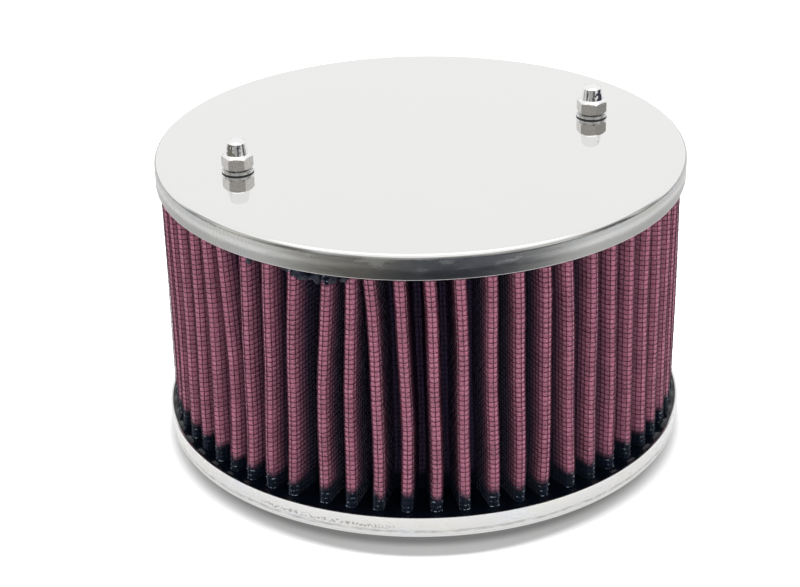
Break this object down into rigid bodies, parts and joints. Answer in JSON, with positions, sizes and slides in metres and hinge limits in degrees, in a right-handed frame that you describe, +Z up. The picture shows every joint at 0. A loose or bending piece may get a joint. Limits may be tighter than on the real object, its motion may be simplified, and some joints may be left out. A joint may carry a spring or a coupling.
{
  "type": "carburetor air cleaner",
  "caption": "Round carburettor air cleaner: chromed lid and pan round a pleated red gauze element, held by cap nuts on studs.",
  "frame": {"origin": "centre of the pan's pressed seat, on the face that stands on the carburettor", "axes": "+Z up from the seat through the inlet to the lid, -Y to the front of the picture, the stud line 20 degrees from +X"},
  "size_m": [0.1792, 0.1792, 0.1148],
  "materials": {
    "chromed_sheet": "bright chrome on smooth pressed steel, smudged on the skirt",
    "red_gauze": "oiled red cotton gauze under fine wire cloth",
    "dark_resin": "glossy blue-black cast resin",
    "bright_steel": "polished stainless steel",
    "plated_steel": "zinc-plated steel",
    "black_rubber": "matt black rubber"
  },
  "bodies": {
    "root": {"lid": "chromed_sheet", "base_pan": "chromed_sheet", "pleated_element": "red_gauze", "upper_end_seal": "dark_resin", "lower_end_seal": "dark_resin", "stud_front": "plated_steel", "stud_rear": "plated_steel", "under_nut_front": "plated_steel", "under_nut_rear": "plated_steel", "lock_washer_front": "plated_steel", "lock_washer_rear": "plated_steel", "base_nut_front": "plated_steel", "base_nut_rear": "plated_steel", "seal_washer_front": "black_rubber", "seal_washer_rear": "black_rubber", "flat_washer_front": "bright_steel", "flat_washer_rear": "bright_steel", "cap_nut_front": "bright_steel", "cap_nut_rear": "bright_steel"}
  },
  "joints": []
}
